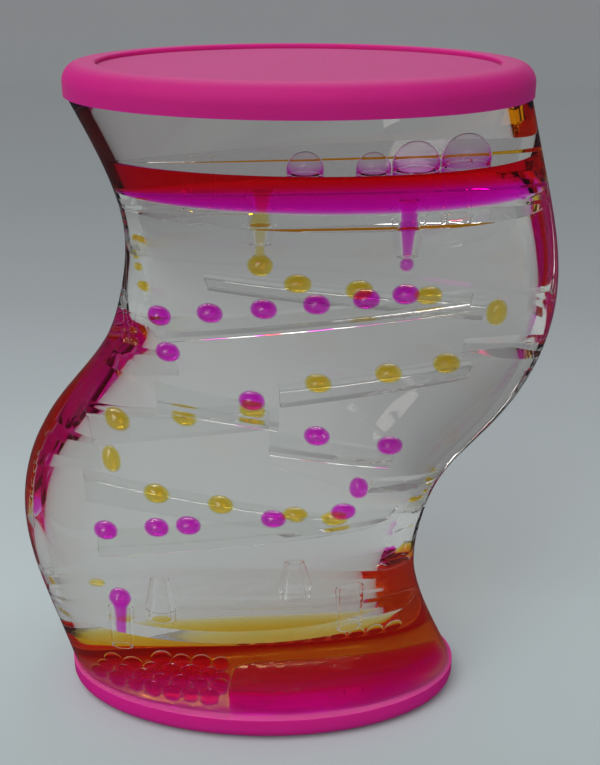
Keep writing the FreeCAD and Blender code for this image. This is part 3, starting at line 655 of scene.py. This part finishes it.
# A dye is given as how strongly a millimetre of it absorbs red, green and blue.
MAGENTA_DYE = (0.001, 0.85, 0.05)
YELLOW_DYE = (0.002, 0.052, 0.34)
SWELL_LENGTH, SWELL_DEPTH, GLINT_ROUGHNESS = 5 * MM, 0.05 * MM, 0.1
POOL_GAP, POOL_LIFT, POOL_EDGE, EDGE_STEPS = 0.15 * MM, 0.05 * MM, 0.7 * MM, 6
POOL_TOE, POOL_LEVELS, POOL_CORNER, TIP_ROUNDING = 0.1 * MM, 10, 5 * MM, 0.3 * MM


def dyed_water(name, dye, ior=WATER / OIL, glint=0.0):
    """Dyed water in oil; the glint is the share of light that its skin mirrors."""
    material, tree = new_material(name)
    place = add(tree, "ShaderNodeTexCoord").outputs["Object"]
    swell = add(tree, "ShaderNodeTexNoise", {"Vector": place, "Scale": 1 / SWELL_LENGTH, "Detail": 1.0})
    bump = add(tree, "ShaderNodeBump", {
        "Height": swell.outputs["Fac"], "Distance": SWELL_DEPTH, "Strength": 1.0,
    })
    clear = add(tree, "ShaderNodeBsdfGlass", {
        "Color": linear("#FFFFFF"), "Roughness": 0.0, "IOR": ior, "Normal": bump.outputs["Normal"],
    })
    if glint:
        gloss = add(tree, "ShaderNodeBsdfGlossy", {"Roughness": GLINT_ROUGHNESS})
        clear = add(tree, "ShaderNodeMixShader", {0: glint, 1: clear.outputs[0], 2: gloss.outputs[0]})
    passing = add(tree, "ShaderNodeBsdfTransparent")
    for_lamps = add(tree, "ShaderNodeLightPath").outputs["Is Shadow Ray"]
    mixed = add(tree, "ShaderNodeMixShader", {0: for_lamps, 1: clear.outputs[0], 2: passing.outputs[0]})
    strongest = max(dye)
    colour = tuple(1 - share / strongest for share in dye) + (1.0,)
    body = add(tree, "ShaderNodeVolumeAbsorption", {"Color": colour, "Density": strongest / MM})
    add(tree, "ShaderNodeOutputMaterial", {"Surface": mixed.outputs[0], "Volume": body.outputs[0]})
    return material


def edge_profile(low, high):
    """Heights and insets of a pool's side, with its upper edge rounded and its foot chamfered."""
    foot = low + POOL_LIFT
    steps = [(foot, POOL_TOE)]
    steps += [(z, 0.0) for z in np.linspace(foot + POOL_TOE, high - POOL_EDGE, POOL_LEVELS)]
    for step in range(1, EDGE_STEPS + 1):
        turn = math.pi / 2 * step / EDGE_STEPS
        steps.append((high - POOL_EDGE * (1 - math.sin(turn)), POOL_EDGE * (1 - math.cos(turn))))
    return steps


def pool_ring(side, z, extra, left=None):
    """A closed outline of a pool at a height; left ends it at a place across, in a round corner."""
    inset = WALL + POOL_GAP + extra
    cut = HALF_DIVIDER + POOL_GAP + extra
    turns = arc_turns(inset, cut, ARC_STEPS)
    if left is not None:
        last = math.acos((left + extra - centre_at(z)) / (half_width_at(z) - inset))
        turns = np.linspace(turns[0], last, ARC_STEPS)
    arc = oval_arc(side, z, inset, turns)
    ring = list(arc)
    if left is not None:
        for turn in np.linspace(0, math.pi / 2, 2 * EDGE_STEPS):
            ring.append((arc[-1][0] + POOL_CORNER * (1 - math.cos(turn)),
                         side * (cut + POOL_CORNER * (1 - math.sin(turn))), z))
    ring += [(x, side * cut, z) for x in np.linspace(ring[-1][0], arc[0][0], CHORD_STEPS)[1:-1]]
    return ring


def pool_mesh(side, low, high, left=None):
    """A pool between two heights."""
    mesh = bmesh.new()
    rows = skin(mesh, [pool_ring(side, z, extra, left) for z, extra in edge_profile(low, high)])
    mesh.faces.new(rows[0][::-1])
    mesh.faces.new(rows[-1])
    return mesh


# Still water with a slow swell on its faces. It is clear, and its colour deepens with its depth.
magenta_water = dyed_water("magenta_water", MAGENTA_DYE)
yellow_water = dyed_water("yellow_water", YELLOW_DYE)
for colour, side_name, side, water in (
    ("magenta", "front", FRONT, magenta_water), ("yellow", "rear", REAR, yellow_water),
):
    deck_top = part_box(f"upper_{side_name}_deck")[1].z
    mesh = pool_mesh(side, deck_top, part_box(f"upper_{colour}_pool")[1].z)
    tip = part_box(f"upper_{side_name}_nozzle")[0].z
    turned(mesh, node_middle(f"upper_{side_name}_nozzle"), [
        (0, tip), (NOZZLE_BORE / 2, tip + HAIR), (NOZZLE_BORE - POOL_GAP, tip + TIP_ROUNDING),
        (NOZZLE_MOUTH - POOL_GAP, deck_top - POOL_LIFT), (0, deck_top - POOL_LIFT),
    ])
    pool = new_piece(f"upper_{colour}_water", finish_mesh(mesh), water)
    stands_for(pool, f"{colour}_liquid", f"upper_{colour}_pool")
    low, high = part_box(f"lower_{colour}_pool")
    left = low.x if colour == "magenta" else None
    pool = new_piece(f"lower_{colour}_water", finish_mesh(pool_mesh(side, low.z, high.z, left)), water)
    stands_for(pool, f"{colour}_liquid", f"lower_{colour}_pool")


# Drops on the ramps: dyed water, round in plan, with a domed top and a flatter underside that rolls
# on the plastic. Each run of drops is one piece, since its drops roll down together.
DROP_SEGMENTS, DROP_RINGS = 40, 24
FLAT_UNDERSIDE, ROUND_UNDERSIDE = 0.8, 1.0
# A drop is given a stronger dye than a pool, to show its colour at its size, and a weaker bend, to
# keep its rim clear.
MAGENTA_DROP_DYE = (0.0, 0.9, 0.03)
YELLOW_DROP_DYE = (0.001, 0.08, 0.7)
DROP_IOR, DROP_GLINT = 0.99, 0.08


def solids_of(name):
    """The centre and half sizes of each separate solid of a CAD node."""
    mesh = bmesh.new()
    mesh.from_mesh(nodes[name].data)
    bmesh.ops.remove_doubles(mesh, verts=mesh.verts, dist=MERGE_DISTANCE)
    mesh.verts.ensure_lookup_table()
    reached, found = set(), []
    for start in mesh.verts:
        if start.index in reached:
            continue
        reached.add(start.index)
        group, waiting = [], [start]
        while waiting:
            vertex = waiting.pop()
            group.append(vertex.co.copy())
            for edge in vertex.link_edges:
                other = edge.other_vert(vertex)
                if other.index not in reached:
                    reached.add(other.index)
                    waiting.append(other)
        points = np.array(group)
        low, high = points.min(0), points.max(0)
        found.append(((low + high) / 2, (high - low) / 2))
    mesh.free()
    return found


def drop_tree():
    """Geometry nodes: a drop at each point, with the half sizes that the point holds."""
    tree = bpy.data.node_groups.new("drops_at_points", "GeometryNodeTree")
    for name, kind in (
        ("Points", "Geometry"), ("Segments", "Int"), ("Rings", "Int"), ("Underside", "Float"),
        ("Water", "Material"),
    ):
        tree.interface.new_socket(name=name, in_out="INPUT", socket_type=f"NodeSocket{kind}")
    tree.interface.new_socket(name="Drops", in_out="OUTPUT", socket_type="NodeSocketGeometry")
    given = add(tree, "NodeGroupInput").outputs
    ball = add(tree, "GeometryNodeMeshUVSphere", {
        "Segments": given["Segments"], "Rings": given["Rings"], "Radius": 1.0,
    })
    position = add(tree, "GeometryNodeInputPosition").outputs[0]
    place = add(tree, "ShaderNodeSeparateXYZ", {0: position}).outputs
    depth = add(tree, "ShaderNodeMath", {0: place["Z"]}, operation="ABSOLUTE")
    flatter = add(tree, "ShaderNodeMath", {
        0: depth.outputs[0], 1: given["Underside"],
    }, operation="POWER")
    below = add(tree, "ShaderNodeMath", {0: flatter.outputs[0], 1: -1.0}, operation="MULTIPLY")
    lower_half = add(tree, "ShaderNodeMath", {0: place["Z"], 1: 0.0}, operation="LESS_THAN")
    lowered = add(tree, "ShaderNodeCombineXYZ", {
        "X": place["X"], "Y": place["Y"], "Z": below.outputs[0],
    })
    drop = add(tree, "GeometryNodeSetPosition", {
        "Geometry": ball.outputs["Mesh"], "Selection": lower_half.outputs[0],
        "Position": lowered.outputs[0],
    })
    sizes = add(tree, "GeometryNodeInputNamedAttribute", {
        "Name": "half_sizes",
    }, data_type="FLOAT_VECTOR")
    drops = add(tree, "GeometryNodeInstanceOnPoints", {
        "Points": given["Points"], "Instance": drop.outputs[0], "Scale": sizes.outputs["Attribute"],
    })
    joined = add(tree, "GeometryNodeRealizeInstances", {"Geometry": drops.outputs[0]})
    wet = add(tree, "GeometryNodeSetMaterial", {
        "Geometry": joined.outputs[0], "Material": given["Water"],
    })
    add(tree, "NodeGroupOutput", {0: wet.outputs[0]})
    return tree


DROP_TREE = drop_tree()
DROP_INPUTS = {
    item.name: item.identifier for item in DROP_TREE.interface.items_tree if item.in_out == "INPUT"
}


def drops_at(name, solids, water, underside):
    """A piece with one drop for each solid."""
    mesh = bmesh.new()
    held = mesh.verts.layers.float_vector.new("half_sizes")
    for centre, half_sizes in solids:
        mesh.verts.new(centre)[held] = half_sizes
    piece = new_piece(name, mesh, water)
    made = piece.modifiers.new("drops", "NODES")
    made.node_group = DROP_TREE
    made[DROP_INPUTS["Segments"]] = DROP_SEGMENTS
    made[DROP_INPUTS["Rings"]] = DROP_RINGS
    made[DROP_INPUTS["Underside"]] = underside
    made[DROP_INPUTS["Water"]] = water
    bake(piece)
    mesh = bmesh.new()
    mesh.from_mesh(piece.data)
    finish_mesh(mesh).to_mesh(piece.data)
    mesh.free()
    return piece


# The same dyed water in drops: clear, with a soft glint of the lamps on its skin.
drop_water = {
    "magenta": dyed_water("magenta_drop_water", MAGENTA_DROP_DYE, DROP_IOR, DROP_GLINT),
    "yellow": dyed_water("yellow_drop_water", YELLOW_DROP_DYE, DROP_IOR, DROP_GLINT),
}
body_of = {}
for body, names in frame["record"]["behaviour"]["bodies"].items():
    body_of.update(dict.fromkeys(names, body))
for name in sorted(nodes):
    if "_beads_ramp_" in name or "_bead_ledge_" in name or name in ("magenta_drip", "yellow_bead_deck"):
        colour = name.split("_")[0]
        underside = ROUND_UNDERSIDE if name == "magenta_drip" else FLAT_UNDERSIDE
        piece_name = name.replace("bead", "drop").replace("drip", "small_drip")
        drops = drops_at(piece_name, solids_of(name), drop_water[colour], underside)
        stands_for(drops, f"{colour}_liquid", name, body=body_of[name])


# Drops with a neck, of the same dyed water: the yellow one that is about to part from its nozzle,
# and the magenta one whose tail already runs down the standpipe's bore.
NECK_POWER, NECK_STEPS, NECK_END_SHARE = 4, 40, 0.6
YELLOW_NECK, YELLOW_NECK_END = 1.15 * MM, 0.75 * MM
MAGENTA_NECK, MAGENTA_NECK_END = 1.6 * MM, 1.0 * MM


def necked_profile(ball, ball_z, neck, neck_end, end_z):
    """A ball with a neck that leads from it up or down to an end."""
    away = 1 if end_z > ball_z else -1
    heights = np.linspace(ball_z - away * ball, end_z, NECK_STEPS)
    profile = [(0, heights[0])]
    for z in heights[1:-1]:
        round_part = math.sqrt(max(ball ** 2 - (z - ball_z) ** 2, 0))
        along = max((z - ball_z) / (end_z - ball_z), 0)
        neck_part = neck + (neck_end - neck) * along if along > 0 else 0
        profile.append(((round_part ** NECK_POWER + neck_part ** NECK_POWER) ** (1 / NECK_POWER), z))
    return profile + [(neck_end * NECK_END_SHARE, end_z - away * HAIR), (0, end_z)]


for name, colour, neck, neck_end, upwards in (
    ("yellow_drip", "yellow", YELLOW_NECK, YELLOW_NECK_END, True),
    ("magenta_bead_standpipe", "magenta", MAGENTA_NECK, MAGENTA_NECK_END, False),
):
    low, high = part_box(name)
    ball = (high.x - low.x) / 2
    ball_z, end_z = (low.z + ball, high.z) if upwards else (high.z - ball, low.z)
    mesh = bmesh.new()
    turned(mesh, node_middle(name), necked_profile(ball, ball_z, neck, neck_end, end_z))
    drop = new_piece(f"{name}_drop", finish_mesh(mesh), drop_water[colour])
    stands_for(drop, f"{colour}_liquid", name, body=body_of[name])


# The heap: landed magenta drops pressed flat against each other, with thin walls of oil between
# them, which show as pale rims. Each grows a little until it meets its neighbours.
HEAP_GROWTH, OIL_WALL, CORNER_SOFTNESS, LEAST_FACING = 1.22, 0.1 * MM, 12, 0.05
HEAP_SEGMENTS, HEAP_RINGS = 28, 18


def pressed_drop(mesh, centre, radius, neighbours, lowest):
    """A drop that is flat where it meets each neighbour, and rounded everywhere else."""
    turns = [math.pi * ring / HEAP_RINGS for ring in range(1, HEAP_RINGS)]
    ball = [(0, 1)] + [(math.sin(turn), math.cos(turn)) for turn in turns] + [(0, -1)]
    rows = turned(mesh, (0, 0), ball, HEAP_SEGMENTS)
    for vertex in [vertex for row in rows for vertex in row]:
        way = np.array(vertex.co)
        reach = radius ** -CORNER_SOFTNESS
        for direction, distance in neighbours:
            facing = float(way @ direction)
            if facing > LEAST_FACING:
                reach += (distance / facing) ** -CORNER_SOFTNESS
        length = reach ** (-1 / CORNER_SOFTNESS)
        vertex.co = Vector(centre + way * length)
        vertex.co.z = max(vertex.co.z, lowest)


heap = solids_of("magenta_bead_pile")
heap_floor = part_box("lower_magenta_pool")[0].z + POOL_LIFT
heap_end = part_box("lower_magenta_pool")[0].x - POOL_GAP
mesh = bmesh.new()
for i, (centre, half_sizes) in enumerate(heap):
    radius = half_sizes[0] * HEAP_GROWTH
    neighbours = []
    for j, (other, other_sizes) in enumerate(heap):
        gap = np.linalg.norm(other - centre)
        if i != j and gap < radius + other_sizes[0] * HEAP_GROWTH:
            share = half_sizes[0] / (half_sizes[0] + other_sizes[0])
            neighbours.append(((other - centre) / gap, gap * share - OIL_WALL / 2))
    wall_x = (centre[0] - centre_at(centre[2])) / half_width_at(centre[2]) ** 2
    wall = np.array((wall_x, centre[1] / BODY_HALF_DEPTH ** 2, 0))
    neighbours.append((wall / np.linalg.norm(wall), half_sizes[0] + POOL_GAP))
    neighbours.append((np.array((1.0, 0.0, 0.0)), heap_end - centre[0]))
    pressed_drop(mesh, centre, radius, neighbours, heap_floor)
drops = new_piece("magenta_drop_heap", finish_mesh(mesh), magenta_water)
stands_for(drops, "magenta_liquid", "magenta_bead_pile")


# The raft: yellow drops that float on the lower yellow pool before they sink in, in a row of
# domes of the pool's own water.
RAFT_STEPS = 16
mesh = bmesh.new()
for centre, half_sizes in solids_of("yellow_bead_raft"):
    foot = centre[2] - half_sizes[2] + POOL_LIFT
    height = 2 * (half_sizes[2] - POOL_LIFT)
    dome_profile = [(0, foot)]
    for step in range(RAFT_STEPS):
        turn = math.pi / 2 * step / RAFT_STEPS
        dome_profile.append((half_sizes[0] * math.cos(turn), foot + HAIR + height * math.sin(turn)))
    dome_profile.append((0, centre[2] + half_sizes[2] - POOL_LIFT))
    turned(mesh, centre[:2], dome_profile)
raft = new_piece("yellow_drop_raft", finish_mesh(mesh), yellow_water)
stands_for(raft, "yellow_liquid", "yellow_bead_raft")


# Oil domes: oil that has risen through the upper magenta pool and lifts a skin of dyed water,
# which is thin at the top and thickest at its foot, and shows as fine magenta outlines.
BUBBLE_LIFT_SHARE, BUBBLE_STEPS = 0.2, 28
SKIN_TOP, SKIN_FOOT, SKIN_POWER = 0.02 * MM, 0.8 * MM, 6
FILM_IOR, FILM_GLINT = 0.97, 0.015
# Each dome has its place as shares of the standpipe's place across and of the body's half depth,
# and its radius as a share of the half depth.
BUBBLE_SHARES = [(1.045, -0.43, 0.212), (0.775, -0.58, 0.192), (0.55, -0.70, 0.14), (0.19, -0.72, 0.15)]

# A film of dyed water with hardly any glint, because a look through a dome meets four of its faces.
bubble_film = dyed_water("magenta_film", MAGENTA_DYE, FILM_IOR, FILM_GLINT)
pool_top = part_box("upper_magenta_pool")[1].z
pipe_x = node_middle("upper_front_standpipe")[0]
mesh = bmesh.new()
for along, depth, size in BUBBLE_SHARES:
    radius = BODY_HALF_DEPTH * size
    middle_z = pool_top + radius * BUBBLE_LIFT_SHARE
    foot_turn = math.asin(-BUBBLE_LIFT_SHARE + 2 * HAIR / radius)
    outside, inside = [], []
    for turn in np.linspace(math.pi / 2, foot_turn, BUBBLE_STEPS):
        down_share = (math.pi / 2 - turn) / (math.pi / 2 - foot_turn)
        inner_radius = radius - SKIN_TOP - (SKIN_FOOT - SKIN_TOP) * down_share ** SKIN_POWER
        inner_z = max(middle_z + inner_radius * math.sin(turn), pool_top + HAIR)
        outside.append((radius * math.cos(turn), middle_z + radius * math.sin(turn)))
        inside.append((inner_radius * math.cos(turn), inner_z))
    film_profile = [(0, outside[0][1])] + outside[1:] + inside[:0:-1] + [(0, inside[0][1])]
    turned(mesh, (pipe_x * along, BODY_HALF_DEPTH * depth), film_profile)
domes = new_piece("oil_domes", finish_mesh(mesh), bubble_film)
stands_for(domes, "clear_oil", "oil_bubbles")
